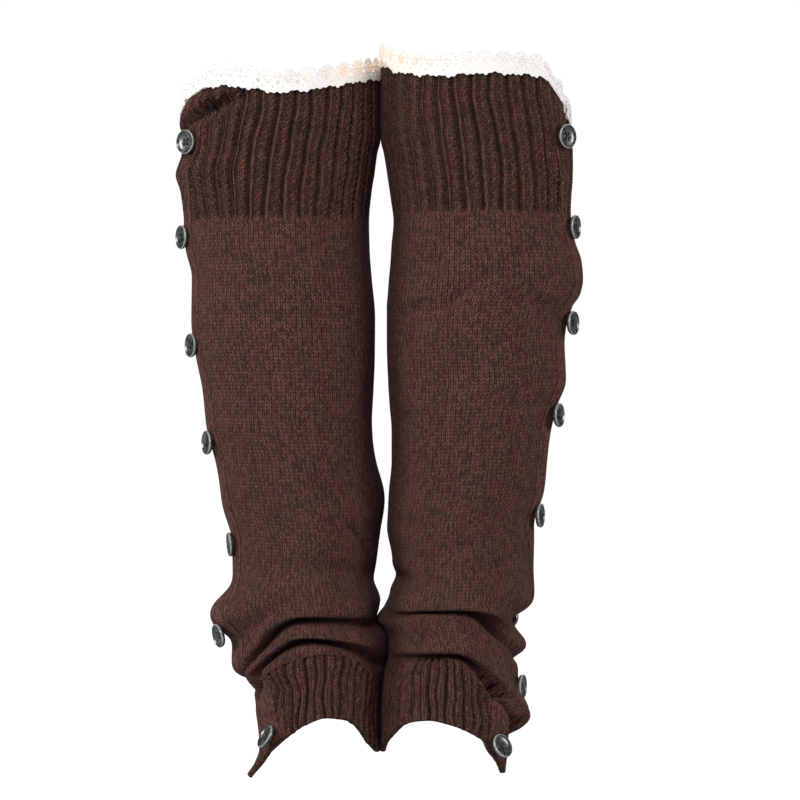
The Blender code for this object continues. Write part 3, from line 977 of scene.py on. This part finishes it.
def narrow_ribs(leg, way, level):
    place, rib = rib_place(leg, way, BOTTOM_RIBS)
    uneven = 1.0 + 0.12 * np.sin(3.1 * rib + level / 9.0)
    valley = BOTTOM_VALLEY * uneven * bell(from_valley(place), BOTTOM_VALLEY_WIDTH)
    split = BOTTOM_SPLIT * uneven * bell(place - 0.5, BOTTOM_SPLIT_WIDTH)
    fade = smooth((leg.ribs_start - level) / BOTTOM_FADE)
    return (valley + split) * fade


hem_knit = knit("bottom cuff knit", BROWN, 1.1)
for leg in (LEFT, RIGHT):
    rows = np.linspace(leg.ribs_start - BUTT - SUPPORT, leg.hem + RIM, BOTTOM_ROWS)
    levels = [leg.ribs_start - BUTT, *rows]
    tube = sleeve(
        leg,
        "bottom_cuff",
        levels,
        BOTTOM_RIBS * BOTTOM_PER_RIB,
        BOTTOM_RIBS * BOTTOM_WALES,
        BOTTOM_THICK,
        narrow_ribs,
        bottom_lean,
        hem_free=True,
    )
    tube.data.materials.append(hem_knit)
    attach(tube, "root")
    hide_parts(f"{leg.name}_bottom_cuff")

# The button bands: a plain knitted strip, lapped over the outer side from top edge to hem and sewn down
# along both edges, so that its edges lie close to the cloth under it.
BAND_ROWS = 320
BAND_WALES = 6
BAND_COURSE = 2.0
BAND_TOP = 1.85
BAND_EDGE = 0.12
BAND_UNDER = 0.3
BAND_END = 0.7
BAND_RIB = 0.45
BAND_SHORT = 0.6
BAND_CLOSING = (1.0, 0.75, 0.25)
BAND_STEPS = 28
UNDER_STEPS = 8

band_knit = knit("button band knit", BROWN, 0.7)
for leg in (LEFT, RIGHT):
    over = np.sin(np.linspace(-math.pi / 2.0, math.pi / 2.0, BAND_STEPS + 1))
    under = np.linspace(1.0, -1.0, UNDER_STEPS + 1)[1:]
    crown = 1.0 - np.abs(over) ** 3
    upper = BAND_EDGE + (BAND_TOP - BAND_EDGE) * crown
    lower = BAND_UNDER - (BAND_UNDER - BAND_EDGE) * under**2
    across = np.concatenate((over, under))[None, :]
    lift = np.concatenate((upper, lower))[None, :]
    shown = np.concatenate((crown, 0.0 * under))[None, :]
    level = np.linspace(leg.top - BAND_SHORT, leg.hem + BAND_SHORT, BAND_ROWS)[:, None]
    front, back = band_edges(leg, level)
    half = (back - front) / 2.0
    ends = np.zeros((BAND_ROWS, 1))
    ends[:3, 0] = BAND_CLOSING
    ends[-3:, 0] = BAND_CLOSING[::-1]
    angle = (front + back) / 2.0 + across * half
    dip = shown * cable_ribs(leg, (angle - top_lean(leg, angle, level)) / 360.0, level)
    lift = (lift - BAND_RIB * dip) * (1.0 - ends) + BAND_END * ends
    level = level + 0.0 * lift
    points = placed(leg, angle, level, 0.0 * level, -lift)
    down = length_along(points) / (BAND_COURSE * MM)
    round_it = length_along(points[BAND_ROWS // 2])
    round_it *= round(round_it[-1] / (BAND_WIDTH * MM / BAND_WALES)) / round_it[-1]
    stitches = np.stack((round_it[None, :] + 0.0 * down, -down), -1)
    # The band's rib hollows get the same painted shade.
    recess_shade = np.clip(dip / DEEPEST, 0.0, 1.0)
    strip = piece_of_cloth(f"{leg.name}_button_band_knit", points, stitches, recess_shade)
    strip.data.materials.append(band_knit)
    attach(strip, "root")
    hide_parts(f"{leg.name}_button_band")

# The lace: ivory cotton trim worked with a thick thread, sewn over the top edge. A toothed tape holds a row
# of flowers between round holes, under a scalloped edge with small loops. One flat motif is repeated.
MOTIFS = 32
MOTIF_WIDTH = 11.6
TAPE_WIDTH = 8.4
TAPE_UP = 2.0
SCALLOP_UP = 5.4
SCALLOP_RADIUS = 5.5
LOOPS = 7
LOOP_OUT = 5.55
LOOP_TURN = 26.0
FLOWER_UP = 5.7
PETALS = 6
PETAL_OUT = 2.15
PUNCH = 2.0
LACE_THICK = 0.55
LACE_LIFT = 0.45
LACE_START = 57.0
LACE_RISE = 9.0
LAPPED_LIFT = 2.0
LAPPED_HALF = 13.0
RUFFLE = 1.2
IVORY = (0.80, 0.79, 0.77)
CREAM = (0.90, 0.74, 0.60)
PEACH = (0.93, 0.62, 0.47)
INNER_MOTIF = 19.0


def join_selected(pieces):
    bpy.ops.object.select_all(action="DESELECT")
    for piece in pieces:
        piece.select_set(True)
    bpy.context.view_layer.objects.active = pieces[0]
    bpy.ops.object.join()
    return bpy.context.object


def cut_or_add(piece, tool, operation):
    """Cuts a tool out of a piece, or adds it, and puts the tool away."""
    fitted = piece.modifiers.new(operation, "BOOLEAN")
    fitted.operation = operation
    fitted.solver = "EXACT"
    fitted.object = tool
    bpy.context.view_layer.objects.active = piece
    bpy.ops.object.modifier_apply(modifier=fitted.name)
    bpy.data.objects.remove(tool)


def disc(x, y, radius, sides, depth):
    bpy.ops.mesh.primitive_cylinder_add(vertices=sides, radius=radius, depth=depth, location=(x, y, 0.0))
    return bpy.context.object


def cord_ring(x, y, radius, thread, steps):
    bpy.ops.mesh.primitive_torus_add(
        location=(x, y, 0.1),
        major_radius=radius,
        minor_radius=thread,
        major_segments=steps,
        minor_segments=4,
    )
    return bpy.context.object


def lace_motif():
    """One flower of the lace, flat, in millimetres: x along the edge, y up from it."""
    bpy.ops.object.select_all(action="DESELECT")
    tape = (MOTIF_WIDTH, TAPE_WIDTH, LACE_THICK)
    bpy.ops.mesh.primitive_cube_add(size=1.0, location=(0.0, TAPE_UP, 0.0), scale=tape)
    ground = bpy.context.object
    cut_or_add(ground, disc(0.0, SCALLOP_UP, SCALLOP_RADIUS, 32, LACE_THICK), "UNION")
    for x in (-4.0, 0.0, 4.0):
        cut_or_add(ground, disc(x, -1.3, 1.6, 14, LACE_THICK), "UNION")
    turns = [math.radians(360.0 / PETALS * k + 30.0) for k in range(PETALS)]
    petals = [(PETAL_OUT * math.cos(turn), FLOWER_UP + PETAL_OUT * math.sin(turn)) for turn in turns]
    holes = [disc(x, 0.9, 0.6, 8, PUNCH) for x in (-3.0, 3.0)]
    holes += [disc(x, y, 0.6, 8, PUNCH) for x, y in petals]
    holes += [disc(x, 3.6, 1.35, 12, PUNCH) for x in (-5.8, 5.8)]
    holes += [disc(x, 7.0, 0.8, 10, PUNCH) for x in (-4.1, 4.1)]
    for hole in holes:
        cut_or_add(ground, hole, "DIFFERENCE")
    threads = [cord_ring(0.0, FLOWER_UP, 0.85, 0.33, 12)]
    threads += [cord_ring(x, y, 0.95, 0.3, 12) for x, y in petals]
    for k in range(LOOPS):
        turn = math.radians(90.0 + LOOP_TURN * (k - LOOPS // 2))
        x, y = LOOP_OUT * math.cos(turn), SCALLOP_UP + LOOP_OUT * math.sin(turn)
        threads.append(cord_ring(x, y, 0.5, 0.3, 9))
    return join_selected([ground] + threads)


def lace_material():
    """Ivory cotton, warmer at the inner sides and peach in the flowers there, with a faint painted glow
    that stands in for light shining through the thin cotton.
    """
    made, tree, shader = material("ivory cotton lace")
    place = tree.nodes.new("ShaderNodeTexCoord")
    split = wired(tree, tree.nodes.new("ShaderNodeSeparateXYZ"), {0: place.outputs["UV"]}).outputs
    sideways = maths(tree, "SUBTRACT", maths(tree, "FRACT", split[0]), 0.5)
    sideways = maths(tree, "MULTIPLY", sideways, MOTIF_WIDTH)
    upwards = maths(tree, "SUBTRACT", split[1], FLOWER_UP)
    squares = [maths(tree, "MULTIPLY", way, way) for way in (sideways, upwards)]
    far = maths(tree, "SQRT", maths(tree, "ADD", *squares))
    flower = stepped(tree, far, 1.6, 4.6, 0.75, 0.0)
    off = maths(tree, "ABSOLUTE", maths(tree, "SUBTRACT", split[0], INNER_MOTIF))
    inner_side = stepped(tree, off, 3.0, 7.0, 1.0, 0.12)
    ground = mixed(tree, maths(tree, "MULTIPLY", inner_side, 0.5), (*IVORY, 1.0), (*CREAM, 1.0))
    colour = mixed(tree, maths(tree, "MULTIPLY", flower, inner_side), ground, (*PEACH, 1.0))
    twist = speckle(tree, place.outputs["Object"], 1800.0)
    bump = tree.nodes.new("ShaderNodeBump")
    wired(tree, bump, {"Strength": 0.8, "Distance": 0.3 * MM, "Height": twist})
    wired(
        tree,
        shader,
        {
            "Base Color": colour,
            # Painted light: a faint glow in the lace's own colour, though the lace is no lamp.
            "Emission Color": colour,
            "Emission Strength": 0.1,
            "Roughness": 0.85,
            "Sheen Weight": 0.15,
            "Sheen Roughness": 0.5,
            "Normal": bump.outputs["Normal"],
        },
    )
    return made


cotton = lace_material()
for leg in (LEFT, RIGHT):
    lace = lace_motif()
    repeated = lace.modifiers.new("repeated", "ARRAY")
    repeated.count = MOTIFS
    repeated.use_relative_offset = False
    repeated.use_constant_offset = True
    repeated.constant_offset_displace = (MOTIF_WIDTH, 0.0, 0.0)
    bpy.ops.object.transform_apply(location=True, rotation=True, scale=True)
    bpy.ops.object.modifier_apply(modifier=repeated.name)
    lace.name = lace.data.name = f"{leg.name}_lace_trim_cotton"
    mesh = lace.data
    flat = np.empty(3 * len(mesh.vertices), np.float32)
    mesh.vertices.foreach_get("co", flat)
    x, y, z = flat.reshape(-1, 3).astype(float).T
    way = (x / MOTIF_WIDTH + 0.5) / MOTIFS
    angle = LACE_START + 360.0 * way
    off = np.abs((angle - LACE_START + 180.0) % 360.0 - 180.0)
    over_band = LAPPED_LIFT * smooth((LAPPED_HALF - off) / 3.0)
    lift = LACE_LIFT + z + over_band * smooth(1.0 - y / LACE_RISE)
    uneven = 1.0 + 0.22 * np.sin(math.tau * way * 34.0) + 0.2 * np.sin(math.tau * way * 19.0 + 0.8)
    edge = np.full_like(angle, leg.top)
    foot = placed(leg, angle, edge + np.minimum(y, 0.0) * uneven, 0.0 * angle, -lift)
    outwards = foot - placed(leg, angle, edge, 0.0 * angle, -lift + 1.0)
    outwards[:, 2] = 0.0
    outwards /= np.linalg.norm(outwards, axis=1, keepdims=True) / MM
    free = 1.0 - around(angle, 0.0, 0.0, 1.0, 0.0)
    wave = np.sin(math.tau * way * 22.0) + 0.6 * np.sin(math.tau * way * 13.0 + 1.3)
    up = np.maximum(y, 0.0)
    rise = smooth(up / LACE_RISE)
    points = foot + outwards * (RUFFLE * 0.6 * free * wave * rise - 0.5 * rise)[:, None]
    points[:, 2] += up * MM
    mesh.vertices.foreach_set("co", points.astype(np.float32).ravel())
    layer = (mesh.uv_layers or [mesh.uv_layers.new()])[0].data
    corner = np.empty(len(mesh.loops), np.int32)
    mesh.loops.foreach_get("vertex_index", corner)
    motif = np.stack((way * MOTIFS, y), -1)[corner]
    layer.foreach_set("uv", motif.astype(np.float32).ravel())
    mesh.update()
    bpy.ops.object.mode_set(mode="EDIT")
    bpy.ops.mesh.select_all(action="SELECT")
    bpy.ops.mesh.normals_make_consistent(inside=False)
    bpy.ops.object.mode_set(mode="OBJECT")
    bpy.ops.object.shade_smooth_by_angle(angle=math.radians(40.0))
    mesh.materials.clear()
    mesh.materials.append(cotton)
    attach(lace, "root")
    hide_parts(f"{leg.name}_lace_trim")

# The buttons: turned from a dark grey-green marbled stock, dished in the middle with a raised pearly rim,
# four holes and a crossed thread. Seven show on the left leg warmer and eight on the right, and three of
# them are moved and turned, so that as little of them shows as should.
BUTTON_SIDES = 48
BUTTON_PROFILE = (
    (6.8, 0.0),
    (7.3, 0.7),
    (7.5, 1.5),
    (7.45, 2.0),
    (7.25, 2.35),
    (6.95, 2.45),
    (6.65, 2.3),
    (6.3, 1.95),
    (5.7, 1.6),
    (4.6, 1.35),
    (3.0, 1.25),
)
HOLE_OUT = 1.9
HOLE_RADIUS = 0.95
PEARL_INSIDE = 6.9
MARBLE_DARK = (0.010, 0.013, 0.012)
MARBLE_LIGHT = (0.095, 0.115, 0.108)
PEARL = (0.26, 0.26, 0.24)
PEARL_LIGHT = (0.46, 0.45, 0.42)
THREAD = (0.045, 0.03, 0.025)
THREAD_UP = 1.15
THREAD_RADIUS = 0.24
THREAD_FLAT = 0.42
Tuck = namedtuple("Tuck", "right back up turn")
TUCKED = {
    "left_button_7": Tuck(0.0, 0.0, 3.0, 6.0),
    "right_button_6": Tuck(-6.5, 7.0, 1.5, 30.0),
    "right_button_7": Tuck(-1.0, 0.0, 1.5, -20.0),
}


def turned_button(finishes):
    """One button at the origin, facing up: a disc drawn up ring by ring, with four holes and its thread."""
    radius, height = BUTTON_PROFILE[0]
    bpy.ops.object.select_all(action="DESELECT")
    bpy.ops.mesh.primitive_circle_add(vertices=BUTTON_SIDES, radius=radius, fill_type="NGON")
    button = bpy.context.object
    bpy.ops.object.mode_set(mode="EDIT")
    bpy.ops.mesh.select_all(action="SELECT")
    for next_radius, next_height in BUTTON_PROFILE[1:]:
        bpy.ops.mesh.extrude_region_move(TRANSFORM_OT_translate={"value": (0.0, 0.0, next_height - height)})
        share = next_radius / radius
        bpy.ops.transform.resize(value=(share, share, 1.0), center_override=(0.0, 0.0, next_height))
        radius, height = next_radius, next_height
    bpy.ops.mesh.select_all(action="SELECT")
    bpy.ops.mesh.normals_make_consistent(inside=False)
    bpy.ops.object.mode_set(mode="OBJECT")
    for k in range(4):
        turn = math.radians(90.0 * k + 45.0)
        hole = disc(HOLE_OUT * math.cos(turn), HOLE_OUT * math.sin(turn), HOLE_RADIUS, 14, 8.0)
        cut_or_add(button, hole, "DIFFERENCE")
    button.select_set(True)
    bpy.context.view_layer.objects.active = button
    bpy.ops.object.shade_smooth_by_angle(angle=math.radians(35.0))
    first = len(button.data.materials)
    for finish in finishes:
        button.data.materials.append(finish)
    for face in button.data.polygons:
        middle = face.center
        out = math.hypot(middle.x, middle.y)
        face.material_index = first + (1 if out > PEARL_INSIDE and middle.z > 1.2 else 0)
    stitches = []
    for turn in (45.0, -45.0):
        bpy.ops.mesh.primitive_torus_add(
            location=(0.0, 0.0, THREAD_UP),
            rotation=(math.radians(90.0), 0.0, math.radians(turn)),
            major_radius=HOLE_OUT,
            minor_radius=THREAD_RADIUS,
            major_segments=16,
            minor_segments=8,
        )
        stitch = bpy.context.object
        bpy.ops.object.transform_apply(location=False, rotation=True, scale=False)
        stitch.scale = (1.0, 1.0, THREAD_FLAT)
        bpy.ops.object.transform_apply(location=True, rotation=True, scale=True)
        bpy.ops.object.shade_smooth()
        for finish in finishes:
            stitch.data.materials.append(finish)
        for face in stitch.data.polygons:
            face.material_index = 2
        stitches.append(stitch)
    return join_selected([button] + stitches)


def glossy(name, first, second, scale, roughness, coat):
    """A polished marbled stock, or the pearly rim."""
    made, tree, shader = material(name)
    place = tree.nodes.new("ShaderNodeTexCoord").outputs["Object"]
    veins = stepped(tree, speckle(tree, place, scale, 4.0, 1.6), 0.40, 0.66)
    scratches = stepped(tree, speckle(tree, place, 2400.0), 0.3, 0.8, roughness, roughness + 0.15)
    wired(
        tree,
        shader,
        {
            "Base Color": mixed(tree, veins, (*first, 1.0), (*second, 1.0)),
            "Roughness": scratches,
            "Coat Weight": coat,
            "Coat Roughness": 0.08,
        },
    )
    return made


marbled = glossy("marbled button", MARBLE_DARK, MARBLE_LIGHT, 300.0, 0.22, 0.6)
pearl = glossy("pearly rim", PEARL, PEARL_LIGHT, 420.0, 0.3, 0.5)
dark_thread = glossy("button thread", THREAD, THREAD, 900.0, 0.8, 0.0)
pattern = turned_button((marbled, pearl, dark_thread))
for leg in (LEFT, RIGHT):
    for number, shown in enumerate(leg.buttons, start=1):
        node = f"{leg.name}_button_{number}"
        tuck = TUCKED.get(node, Tuck(0.0, 0.0, 0.0, 0.0))
        turn, tilt = math.radians(shown.turn + tuck.turn), math.radians(shown.tilt)
        facing = Vector(
            (leg.side * math.sin(turn) * math.cos(tilt), -math.cos(turn) * math.cos(tilt), math.sin(tilt))
        )
        corners = [corner.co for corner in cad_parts[node].data.vertices]
        middle = sum(corners, Vector()) / len(corners)
        back = min(corner.dot(facing) for corner in corners)
        place = middle - facing * (middle.dot(facing) - back) + Vector(tuck[:3]) * MM
        button = pattern.copy()
        button.data = pattern.data.copy()
        bpy.context.collection.objects.link(button)
        button.name = button.data.name = f"{node}_turned"
        turned = facing.to_track_quat("Z", "Y").to_matrix().to_4x4()
        button.data.transform(Matrix.Translation(place) @ turned @ Matrix.Scale(MM, 4))
        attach(button, "root")
        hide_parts(node)
bpy.data.objects.remove(pattern)
